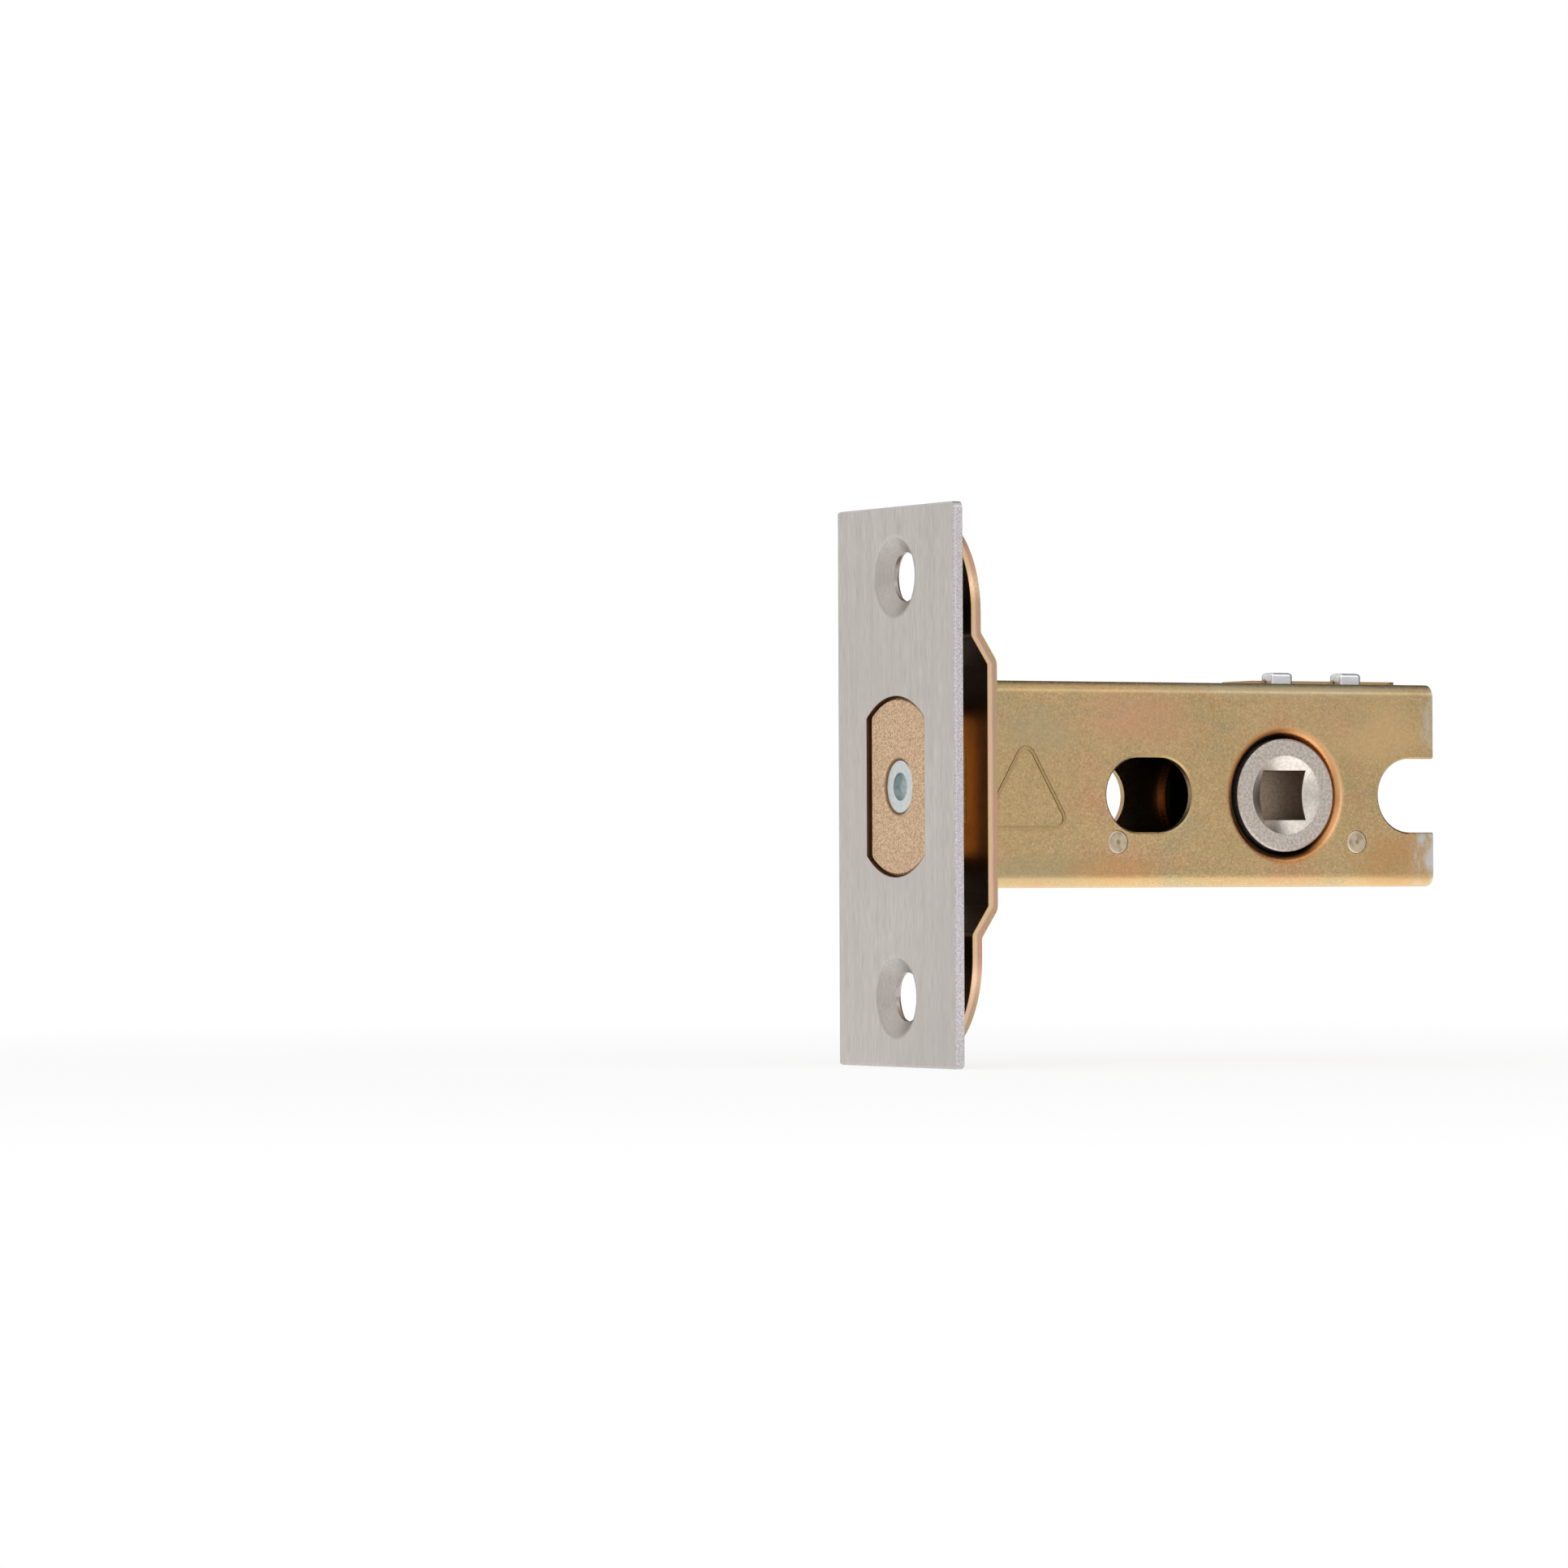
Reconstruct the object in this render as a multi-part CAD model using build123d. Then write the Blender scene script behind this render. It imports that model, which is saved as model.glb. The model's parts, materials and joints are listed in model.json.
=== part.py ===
from build123d import *
import math
import os

# Tubular deadbolt for a mortice in the edge of a door, in millimetres.
# X runs from the front of the faceplate back along the case, Y runs across it and Z is up.
# The bolt is drawn back, with the tooth of the follower leaning towards the tail.

# Faceplate
faceplate_height = 60.0
faceplate_width = 25.5
faceplate_thickness = 1.1
faceplate_corner = 0.7
faceplate_edge_round = 0.3

# Fixing screws and the pressed countersinks that take them
screw_end_distance = 7.5
screw_hole_diameter = 5.3
dimple_diameter = 8.3
dimple_depth = 1.4
dimple_land = 0.45
dimple_rim_width = 0.4
dimple_rim_depth = 0.14
dimple_boss_diameter = 10.4
dimple_boss_taper = 0.5
dimple_standoff = 1.25
dimple_flare = 0.55

# Bolt head, a circle with two flats, and the rivet through it
bolt_diameter = 19.0
bolt_width = 11.5
bolt_corner = 0.9
bolt_recess = 0.25
bolt_edge_chamfer = 0.2
aperture_end_clearance = 0.2
aperture_side_clearance = 0.55
rivet_pin_shank = 4.0
rivet_pin_head = 5.6
rivet_pin_head_height = 1.2
rivet_pin_sink = 0.35
rivet_pin_recess = 3.0
rivet_pin_recess_depth = 0.5
rivet_pin_clinch = 1.0
rivet_pin_fit = 0.03
rivet_pin_head_fit = 0.05
rivet_pin_mouth = 0.45

# Forend plate behind the faceplate
forend_inset = 0.45
forend_end_inset = 0.7
forend_end_flat = 2.6
forend_thickness = 1.2
joggle_depth = 1.95
joggle_run = 3.0
joggle_margin = 1.05
joggle_bend = 0.5
ear_slot_length = 13.0
ear_slot_height = 6.5

# Folded case
tail_length = 19.15
sheet = 1.0
bend_inside = 0.4
side_clearance = 0.95
roof_clearance = 0.2
floor_clearance = 0.4
seam_gap = 0.1
lap_lead = 3.0
lap_trim = 0.5
lap_reach = 1.7
lap_overlap = 5.1
lap_proud = 0.45
lap_gap = 0.05
lap_shoulder = 2.2
lap_step = 1.0
lap_corner = 1.5
tail_corner = 0.2
slot_ahead = 17.25
slot_length = 10.8
slot_height = 8.1
notch_depth = 7.1
punch_rollover = 0.2
tab_height = 8.0
tab_proud = 0.3
tab_fit = 0.05

# Follower, turned by a square spindle
backset = 44.45
follower_drop = 0.9
spindle_square = 5.0
spindle_fit = 0.4
journal_diameter = 12.3
journal_fit = 0.08
journal_proud = 0.1
journal_chamfer = 0.2
dish_diameter = 8.6
dish_slope = 0.7
hub_wall = 0.92
shoulder_height = 1.25
shoulder_thickness = 0.9
collar_depth = 2.2
collar_bend = 0.3
end_float = 0.1
tooth_thickness = 4.0
tooth_tip_radius = 1.4
tooth_waist = 2.4
tooth_side_clearance = 0.3
tooth_headroom = 0.3
tooth_lean = 45.0

# Cross pins
pin_diameter = 2.5
pin_proud = 0.1
pin_chamfer = 0.15
pin_fit = 0.02
pin_drop = 6.0
stop_pin_ahead = 21.35
guide_pin_behind = 9.15
stop_gap = 0.35

# Bolt tail
rail_clearance = 0.3
rail_headroom = 0.6
rail_end_margin = 4.5
notch_clearance = 0.25
flank_clearance = 0.5
lug_length = 3.0
tail_flange = 4.1
tail_relief = 0.2

# Detent spring, and the keeper whose studs clamp it and hook over the lap
spring_thickness = 0.35
spring_width = 7.2
spring_bend = 0.3
spring_end = 2.0
spring_tip = 0.9
detent_ahead = 10.45
detent_half = 1.2
detent_depth = 0.9
detent_clearance = 0.25
keeper_thickness = 0.35
keeper_width = 3.0
stud_behind = 2.5
stud_pitch = 8.9
stud_length = 2.1
stud_thickness = 1.0
stud_fit = 0.03
stud_spread = 0.25
stud_clearance = 0.1
stud_hook = 0.7
stud_head_height = 1.9
stud_head_round = 0.4

# Places that follow from the sizes above
ear_front = faceplate_thickness + dimple_standoff
web_front = ear_front + joggle_depth
case_front = web_front + forend_thickness
case_reach = backset + tail_length
slot_x = backset - slot_ahead
stop_pin_x = backset - stop_pin_ahead
guide_pin_x = backset + guide_pin_behind
detent_x = backset - detent_ahead
case_half = bolt_width / 2 + side_clearance + sheet
seam_inside = bolt_diameter / 2 + roof_clearance
seam_under = seam_inside + sheet
seam_over = seam_under + lap_gap
lap_top = seam_over + sheet
case_top = lap_top - lap_proud
case_bottom = -(bolt_diameter / 2 + floor_clearance + sheet)
follower_z = -follower_drop
pin_z = -pin_drop
screw_z = faceplate_height / 2 - screw_end_distance
screw_heights = (-screw_z, screw_z)
stud_x = backset + stud_behind
stud_places = (stud_x, stud_x + stud_pitch)
stud_y = -(lap_reach + stud_clearance + stud_thickness / 2)
lap_front = stud_x - lap_lead
lap_rear = case_reach - lap_trim
spring_under = seam_inside - spring_thickness
keeper_under = spring_under - keeper_thickness

# The follower's tooth fills the height below the keeper and so sets the throw
square_side = spindle_square + spindle_fit
hub_radius = square_side / math.sqrt(2) + hub_wall
tooth_radius = keeper_under - tooth_headroom - tooth_tip_radius - follower_z
lean = math.radians(tooth_lean)
throw = 2 * tooth_radius * math.sin(lean)
tip_x = backset + tooth_radius * math.sin(lean)
tip_z = follower_z + tooth_radius * math.cos(lean)

# The bolt slides in step with the angle, so the tooth's sine runs ahead of it in mid turn
lead_angle = math.acos(math.sin(lean) / lean)
tooth_lead = tooth_radius * (math.sin(lead_angle) - math.sin(lean) * lead_angle / lean)
notch_half = tooth_tip_radius + tooth_lead + notch_clearance

# Rails of the bolt tail, above and below the spindle and the through slot
rail_half = case_half - collar_depth - end_float - shoulder_thickness - rail_clearance
upper_rail_low = follower_z + hub_radius + rail_clearance
upper_rail_high = keeper_under - rail_headroom
lower_rail_low = -bolt_diameter / 2
lower_rail_high = pin_z - pin_diameter / 2 - rail_clearance
bolt_rear = stop_pin_x - pin_diameter / 2 - stop_gap
head_rear = bolt_rear - tail_flange
jaw_z = tip_z + (tooth_waist / 2 + flank_clearance) / math.sin(lean) - notch_half / math.tan(lean)
notch_mouth = notch_half + (jaw_z - upper_rail_low) * math.tan(lean)
rail_end = tip_x + notch_mouth + rail_end_margin


def at_depth(x):
    """Plane across the case at depth x, with Y to its right and Z up."""
    return Plane.YZ.offset(x)


def flatted_circle(diameter, width):
    """Outline of the bolt: a circle with two upright flats."""
    return Circle(diameter / 2) & Rectangle(width, diameter)


def bolt_aperture():
    """Outline of the opening that the bolt slides through."""
    height = bolt_diameter + 2 * aperture_end_clearance
    return flatted_circle(height, bolt_width + 2 * aperture_side_clearance)


def turned_along_x(*points):
    """Solid turned about the X axis from points of depth and radius."""
    return revolve(Plane.XY * make_face(Polyline(*points, close=True)), Axis.X)


def strip(path, thickness, side):
    """Section of a bent sheet: a path thickened to one side."""
    return make_face(offset(path, amount=thickness, side=side).edges())


def rounded_ends(solid, axis, amount):
    """Solid with the rims of its two end faces along an axis chamfered."""
    ends = solid.faces().filter_by(axis).sort_by(axis)
    return chamfer([*ends[0].edges(), *ends[-1].edges()], amount)


def make_faceplate():
    """Flat plate with two pressed countersinks and the aperture of the bolt."""
    plate = extrude(at_depth(0) * Rectangle(faceplate_width, faceplate_height), faceplate_thickness)
    plate = fillet(plate.faces().sort_by(Axis.X)[0].edges(), faceplate_edge_round)
    outline = RectangleRounded(faceplate_width, faceplate_height, faceplate_corner)
    plate &= extrude(at_depth(0) * outline, faceplate_thickness)
    hole = screw_hole_diameter / 2
    rim = dimple_diameter / 2
    boss = dimple_boss_diameter / 2
    boss_root = faceplate_thickness / 2
    land_end = dimple_depth + dimple_land
    pressed = turned_along_x(
        (boss_root, 0), (boss_root, boss), (faceplate_thickness, boss),
        (ear_front, boss - dimple_boss_taper), (ear_front, 0),
    )
    opening = turned_along_x(
        (0, 0), (0, rim + dimple_rim_width), (dimple_rim_depth, rim), (dimple_depth, hole),
        (land_end, hole), (ear_front, hole + dimple_flare), (ear_front, 0),
    )
    for z in screw_heights:
        plate += Pos(0, 0, z) * pressed
        plate -= Pos(0, 0, z) * opening
    return plate - extrude(at_depth(0) * bolt_aperture(), faceplate_thickness)


def make_forend_plate():
    """Joggled plate: its ears meet the countersinks, its web carries the case."""
    half_length = faceplate_height / 2 - forend_end_inset
    width = faceplate_width - 2 * forend_inset
    bend_low = lap_top + joggle_margin
    bend_high = bend_low + joggle_run
    profile = FilletPolyline(
        (ear_front, -half_length), (ear_front, -bend_high), (web_front, -bend_low),
        (web_front, bend_low), (ear_front, bend_high), (ear_front, half_length),
        radius=[joggle_bend + forend_thickness, joggle_bend, joggle_bend, joggle_bend + forend_thickness],
    )
    plate = extrude(Plane.XZ * strip(profile, forend_thickness, Side.RIGHT), width / 2, both=True)
    outline = RectangleRounded(width, 2 * half_length, (width - forend_end_flat) / 2)
    plate &= extrude(at_depth(ear_front) * outline, joggle_depth + forend_thickness)
    openings = bolt_aperture() + Rectangle(2 * (case_half + tab_fit), tab_height + 2 * tab_fit)
    for z in screw_heights:
        openings += Pos(0, z) * SlotOverall(ear_slot_length, ear_slot_height)
    return plate - extrude(at_depth(ear_front) * openings, joggle_depth + forend_thickness)


def closed_section():
    """Folded section of the case where the edges of the sheet meet in a slit on top."""
    high = case_top - case_bottom
    outer = RectangleRounded(2 * case_half, high, bend_inside + sheet)
    inner = RectangleRounded(2 * (case_half - sheet), high - 2 * sheet, bend_inside)
    slit = Pos(0, (high - sheet) / 2) * Rectangle(seam_gap, sheet)
    return at_depth(0) * Pos(0, (case_top + case_bottom) / 2) * (outer - inner - slit)


def lapped_section():
    """Folded section of the case where the far flange lies over the near one."""
    corner = bend_inside + sheet
    shoulder = case_half - lap_shoulder
    path = FilletPolyline(
        (lap_overlap - lap_reach, seam_under), (lap_step - shoulder, seam_under), (-shoulder, case_top),
        (-case_half, case_top), (-case_half, case_bottom), (case_half, case_bottom), (case_half, case_top),
        (shoulder, case_top), (shoulder - lap_step, lap_top), (-lap_reach, lap_top),
        radius=[bend_inside, corner, corner, corner, corner, corner, bend_inside, corner],
    )
    return Plane.YZ * strip(path, sheet, Side.RIGHT)


def collar(side):
    """Collar turned in from a side wall, the bearing of the follower."""
    bore = journal_diameter / 2 + journal_fit
    bend = collar_bend + sheet
    face = case_half
    root = face - bend
    rolled = RadiusArc((bore + bend, face), (bore, root), -bend)
    wall = Polyline(
        (bore, root), (bore, face - collar_depth), (bore + sheet, face - collar_depth),
        (bore + sheet, face - sheet), (bore + bend, face - sheet), (bore + bend, face),
    )
    ring = revolve(Plane.XY * make_face([rolled, wall]), Axis.Y)
    if side < 0:
        ring = mirror(ring, Plane.XZ)
    return Pos(backset, 0, follower_z) * ring


def punched(growth):
    """Outlines of the through slot and of the tail notch, larger all round by some growth."""
    high = slot_height + 2 * growth
    slot = Pos(slot_x, follower_z) * SlotOverall(slot_length + 2 * growth, high)
    return slot + Pos(case_reach, follower_z) * SlotOverall(2 * (notch_depth + growth), high)


def side_outline():
    """Side view of the case, with rounded tail corners and the lap standing proud on top."""
    length = case_reach - case_front
    middle = (case_top + case_bottom) / 2
    outline = Pos(case_front + length / 2, middle) * Rectangle(length, case_top - case_bottom)
    outline = fillet(outline.vertices().group_by(Axis.X)[-1], tail_corner)
    lap = Rectangle(lap_rear - lap_front, 2 * lap_proud)
    return outline + Pos((lap_front + lap_rear) / 2, case_top) * lap


def make_case():
    """Folded sheet with its collars, slot, tail notch, staking tabs and holes."""
    case = extrude(Pos(lap_front, 0, 0) * lapped_section(), lap_rear - lap_front)
    for start, end in ((case_front, lap_front), (lap_rear, case_reach)):
        case += extrude(Pos(start, 0, 0) * closed_section(), end - start)
    case &= extrude(Plane.XZ * side_outline(), case_half, both=True)
    tab_length = forend_thickness + tab_proud
    for side in (-1, 1):
        tab = Box(tab_length, sheet, tab_height)
        case += Pos(case_front - tab_length / 2, side * (case_half - sheet / 2), 0) * tab
    openings = punched(0)
    openings += Pos(backset, follower_z) * Circle(journal_diameter / 2 + journal_fit + collar_bend + sheet)
    for x in (stop_pin_x, guide_pin_x):
        openings += Pos(x, pin_z) * Circle(pin_diameter / 2 + pin_fit)
    case -= extrude(Plane.XZ * openings, case_half, both=True)
    rollover = extrude(Plane.XZ.offset(-case_half) * punched(punch_rollover), punch_rollover, taper=45)
    case -= rollover + mirror(rollover, Plane.XZ)
    for side in (-1, 1):
        case += collar(side)
    return case - seam_cuts()


def stud_outlines(growth):
    """Plan of the keeper's two studs, larger by some growth each way."""
    outlines = Sketch()
    for x in stud_places:
        outlines += Pos(x, stud_y) * Rectangle(stud_length + growth, stud_thickness + growth)
    return outlines


def seam_cuts():
    """Stud holes through the near flange, and the rounded tail corner of the lap."""
    holes = extrude(Plane.XY.offset(seam_inside) * stud_outlines(2 * stud_fit), sheet)
    ahead, inward = lap_rear - lap_corner, lap_corner - lap_reach
    corner = Polyline((lap_rear, inward), (lap_rear, -lap_reach), (ahead, -lap_reach))
    corner += RadiusArc((ahead, -lap_reach), (lap_rear, inward), -lap_corner)
    return holes + extrude(Plane.XY.offset(case_top) * make_face(corner), lap_proud)


def make_bolt_head():
    """Sintered bolt with a counterbored hole for its rivet."""
    outline = flatted_circle(bolt_diameter, bolt_width)
    outline = fillet(outline.vertices(), bolt_corner)
    head = extrude(at_depth(bolt_recess) * outline, head_rear - bolt_recess)
    head = chamfer(head.faces().sort_by(Axis.X)[0].edges(), bolt_edge_chamfer)
    bore = rivet_pin_shank / 2 + rivet_pin_fit
    counterbore = rivet_pin_head / 2 + rivet_pin_head_fit
    sunk = bolt_recess + rivet_pin_sink
    seat = sunk + rivet_pin_head_height
    return head - turned_along_x(
        (bolt_recess, 0), (bolt_recess, counterbore + rivet_pin_mouth), (sunk, counterbore),
        (seat, counterbore), (seat, bore), (head_rear, bore), (head_rear, 0),
    )


def make_bolt_pin():
    """Rivet with a hollow end in the bolt's face, clinched behind the tail."""
    front = bolt_recess + rivet_pin_sink
    seat = front + rivet_pin_head_height
    shank = rivet_pin_shank / 2
    head = rivet_pin_head / 2
    recess = rivet_pin_recess / 2
    return turned_along_x(
        (front + rivet_pin_recess_depth, 0), (front + rivet_pin_recess_depth, recess), (front, recess),
        (front, head), (seat, head), (seat, shank), (bolt_rear - rivet_pin_clinch, shank),
        (bolt_rear, shank + rivet_pin_clinch), (bolt_rear, 0),
    )


def make_bolt_tail():
    """Fork riveted behind the bolt head, notched for the follower's tooth and the detent."""
    outline = flatted_circle(bolt_diameter - 2 * tail_relief, bolt_width - 2 * tail_relief)
    outline = fillet(outline.vertices(), bolt_corner)
    tail = extrude(at_depth(head_rear) * outline, bolt_rear - head_rear)
    lug_front = stop_pin_x + pin_diameter / 2 + throw + stop_gap
    lug_high = follower_z - slot_height / 2 - rail_clearance
    rails = make_face(Polyline(
        (head_rear, upper_rail_low), (head_rear, upper_rail_high), (rail_end, upper_rail_high),
        (rail_end, upper_rail_low), close=True,
    ))
    rails += make_face(Polyline(
        (head_rear, lower_rail_low), (head_rear, lower_rail_high), (lug_front, lower_rail_high),
        (lug_front, lug_high), (lug_front + lug_length, lug_high),
        (lug_front + lug_length, lower_rail_high), (rail_end, lower_rail_high),
        (rail_end, lower_rail_low), close=True,
    ))
    for x in (detent_x, detent_x + throw):
        rails -= make_face(Polyline(
            (x - detent_half, upper_rail_high), (x, upper_rail_high - detent_depth),
            (x + detent_half, upper_rail_high), close=True,
        ))
    tail += extrude(Plane.XZ * rails, rail_half, both=True) & extrude(
        at_depth(head_rear) * outline, rail_end - head_rear
    )
    notch = make_face(Polyline(
        (tip_x - notch_mouth, upper_rail_low), (tip_x - notch_half, jaw_z),
        (tip_x - notch_half, upper_rail_high), (tip_x + notch_half, upper_rail_high),
        (tip_x + notch_half, jaw_z), (tip_x + notch_mouth, upper_rail_low), close=True,
    ))
    tail -= extrude(Plane.XZ * notch, tooth_thickness / 2 + tooth_side_clearance, both=True)
    bore = rivet_pin_shank / 2 + rivet_pin_fit
    clinch = bolt_rear - rivet_pin_clinch
    return tail - turned_along_x(
        (head_rear, 0), (head_rear, bore), (clinch, bore),
        (bolt_rear, bore + rivet_pin_clinch), (bolt_rear, 0),
    )


def make_follower():
    """Turned hub with two journals, a square hole, dished ends and one leaning tooth."""
    journal = journal_diameter / 2
    shoulder = journal + shoulder_height
    shoulder_end = case_half - collar_depth - end_float
    shoulder_start = shoulder_end - shoulder_thickness
    face = case_half + journal_proud
    half = make_face(Polyline(
        (0, 0), (hub_radius, 0), (hub_radius, shoulder_start), (shoulder, shoulder_start),
        (shoulder, shoulder_end), (journal, shoulder_end), (journal, face - journal_chamfer),
        (journal - journal_chamfer, face), (dish_diameter / 2, face),
        (0, face - dish_slope * dish_diameter / 2), close=True,
    ))
    half = revolve(Plane.XY * half, Axis.Y)
    tooth = Pos(0, tooth_radius / 2) * Rectangle(tooth_waist, tooth_radius)
    tooth += Pos(0, tooth_radius) * Circle(tooth_tip_radius)
    tooth = extrude(Plane.XZ * tooth, tooth_thickness / 2, both=True)
    hub = half + mirror(half, Plane.XZ) + Rot(0, tooth_lean, 0) * tooth
    hub -= extrude(Plane.XZ * Rectangle(square_side, square_side), face, both=True)
    return Pos(backset, 0, follower_z) * hub


def make_cross_pin(x):
    """Pin across both side walls, its ends a little proud."""
    pin = extrude(Plane.XZ * (Pos(x, pin_z) * Circle(pin_diameter / 2)), case_half + pin_proud, both=True)
    return rounded_ends(pin, Axis.Y, pin_chamfer)


def stud_head():
    """Head of one stud, spread on the near flange and hooked over the edge of the lap."""
    front = stud_y - stud_thickness / 2 - stud_spread
    back = -lap_reach - stud_clearance
    top = seam_under + stud_head_height
    profile = make_face(Polyline(
        (front, seam_under), (back, seam_under), (back, lap_top), (stud_hook - lap_reach, lap_top),
        (stud_hook - lap_reach, top), (front, top), close=True,
    ))
    head = extrude(Plane.YZ * profile, stud_length / 2 + stud_spread, both=True)
    return fillet(head.faces().sort_by(Axis.Z)[-1].edges(), stud_head_round)


def make_spring_keeper():
    """Plate under the spring with two studs through the near flange, hooked over the lap."""
    rear = stud_places[-1] + spring_end
    front = stud_places[0] - spring_end
    plan = Pos((front + rear) / 2, stud_y) * Rectangle(rear - front, keeper_width)
    keeper = extrude(Plane.XY.offset(keeper_under) * plan, keeper_thickness)
    keeper += extrude(Plane.XY.offset(spring_under) * stud_outlines(0), seam_under - spring_under)
    for x in stud_places:
        keeper += Pos(x, 0, 0) * stud_head()
    return keeper


def make_detent_spring():
    """Leaf spring under the seam, its bent end resting in a notch of the bolt tail."""
    rear = stud_places[-1] + spring_end
    flat_front = stud_places[0] - spring_end
    low = upper_rail_high + detent_clearance
    bump = low - detent_depth
    path = FilletPolyline(
        (rear, spring_under), (flat_front, spring_under), (detent_x + detent_half, low), (detent_x, bump),
        (detent_x - detent_half, low), (detent_x - detent_half - spring_tip, low + spring_thickness),
        radius=spring_bend,
    )
    leaf = extrude(Plane.XZ * strip(path, spring_thickness, Side.RIGHT), spring_width / 2, both=True)
    return leaf - extrude(Plane.XY.offset(spring_under) * stud_outlines(2 * stud_fit), spring_thickness)


pieces = {
    "faceplate": make_faceplate(),
    "forend_plate": make_forend_plate(),
    "case": make_case(),
    "bolt_head": make_bolt_head(),
    "bolt_pin": make_bolt_pin(),
    "bolt_tail": make_bolt_tail(),
    "follower": make_follower(),
    "stop_pin": make_cross_pin(stop_pin_x),
    "guide_pin": make_cross_pin(guide_pin_x),
    "spring_keeper": make_spring_keeper(),
    "detent_spring": make_detent_spring(),
}

os.makedirs("parts", exist_ok=True)
for name, piece in pieces.items():
    export_step(piece, f"parts/{name}.step")
    print(name, round(piece.volume, 1), "mm3")
print("throw", round(throw, 3), "mm, case height", round(case_top - case_bottom, 2), "mm")
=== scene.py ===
# %% [markdown]
# # A tubular deadbolt, dressed for a product picture
# The part arrives from CAD with its true shapes: a stainless faceplate, a folded case, a brass
# bolt and the follower that drives it. This lesson gives every piece the finish of the real
# metal, adds the plain mark pressed into the side of the case, and sets up light and camera.
# The shapes could be modelled again in Blender, but the CAD meshes are exact. So they are loaded
# as a fixed frame, in metres, and none of them is changed.

# %% Load the part
import json
import math

import bpy
from mathutils import Matrix, Vector


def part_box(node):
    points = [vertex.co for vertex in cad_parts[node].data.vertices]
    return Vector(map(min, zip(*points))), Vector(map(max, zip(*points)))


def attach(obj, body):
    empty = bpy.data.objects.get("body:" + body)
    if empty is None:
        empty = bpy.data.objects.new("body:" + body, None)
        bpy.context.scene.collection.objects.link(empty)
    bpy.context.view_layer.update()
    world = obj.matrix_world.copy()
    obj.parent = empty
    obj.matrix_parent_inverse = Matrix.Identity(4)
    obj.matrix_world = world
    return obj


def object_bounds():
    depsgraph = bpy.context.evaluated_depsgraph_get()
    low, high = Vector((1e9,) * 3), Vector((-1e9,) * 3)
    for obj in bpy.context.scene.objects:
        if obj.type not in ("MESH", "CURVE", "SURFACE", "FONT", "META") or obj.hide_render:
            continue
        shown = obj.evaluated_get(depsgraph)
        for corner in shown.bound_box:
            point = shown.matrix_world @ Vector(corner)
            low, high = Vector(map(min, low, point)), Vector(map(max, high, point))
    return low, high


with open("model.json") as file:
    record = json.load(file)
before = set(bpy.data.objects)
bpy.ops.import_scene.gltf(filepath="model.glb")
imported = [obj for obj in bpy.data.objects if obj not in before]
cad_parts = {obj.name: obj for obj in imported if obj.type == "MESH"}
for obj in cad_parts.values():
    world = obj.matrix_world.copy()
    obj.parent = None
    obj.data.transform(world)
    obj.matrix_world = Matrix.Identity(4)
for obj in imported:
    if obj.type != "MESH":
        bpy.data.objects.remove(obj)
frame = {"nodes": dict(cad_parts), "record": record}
cad_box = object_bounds()
nodes = frame["nodes"]
mounts = {mount["name"]: Vector(mount["pos_m"]) for mount in frame["record"]["mounts"]}
print("pieces", sorted(nodes))

# %% [markdown]
# ## Helpers for metal finishes
# Every finish here is one Principled shader fed by procedural patterns, because plated and
# brushed metal is mostly small changes of colour, gloss and height. A picture of metal could be
# wrapped round the part instead, but it would stretch and show seams. Object coordinates are
# in metres and each piece sits at the origin, so a pattern can be sized in real millimetres.

# %% Helpers: colours and nodes
MM = 0.001
MOST = (0.3, 0.7)  # nearly all values of a noise lie between these
MIDDLE = (0.35, 0.65)  # and most of them between these


def shade(red, green, blue):
    """Colour given as it looks on screen, 0 to 255, turned into the linear values of a shader."""
    linear = []
    for level in (red / 255, green / 255, blue / 255):
        linear.append(((level + 0.055) / 1.055) ** 2.4 if level > 0.04045 else level / 12.92)
    return (*linear, 1.0)


class Nodes:
    """A node tree with short ways to add to it."""

    def __init__(self, tree):
        self.tree = tree

    def node(self, kind, inputs=(), **settings):
        """New node with its settings, and inputs given as (socket, value or output) pairs."""
        made = self.tree.nodes.new(kind)
        for key, value in settings.items():
            setattr(made, key, value)
        for socket, value in inputs:
            if isinstance(value, bpy.types.NodeSocket):
                self.tree.links.new(value, made.inputs[socket])
            else:
                made.inputs[socket].default_value = value
        return made

    def ramp(self, value, low, high, out_low=0.0, out_high=1.0):
        """Value from low to high carried smoothly over to another range."""
        ends = [(0, value), (1, low), (2, high), (3, out_low), (4, out_high)]
        return self.node("ShaderNodeMapRange", ends, interpolation_type="SMOOTHSTEP").outputs[0]

    def fall(self, value, low, high, top=1.0):
        """Smooth fall from a top to zero as a value goes from low to high."""
        return self.ramp(value, low, high, top, 0.0)

    def math(self, operation, first, second=0.0):
        """One step of arithmetic between two values."""
        return self.node("ShaderNodeMath", [(0, first), (1, second)], operation=operation).outputs[0]

    def times(self, first, second):
        """Product of two values."""
        return self.math("MULTIPLY", first, second)

    def split(self, place):
        """The X, Y and Z of a place, as single values."""
        return self.node("ShaderNodeSeparateXYZ", [(0, place)]).outputs


# %% [markdown]
# ## A finish as a class
# A finish needs the same few things again and again: noise of a given size, distance from an
# axis, a blend of two colours, and somewhere to feed them. They could be wired by hand in the
# shader editor for each metal. A small class keeps the wiring in one place, so that each finish
# below reads as a short list of what the metal looks like.

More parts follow.
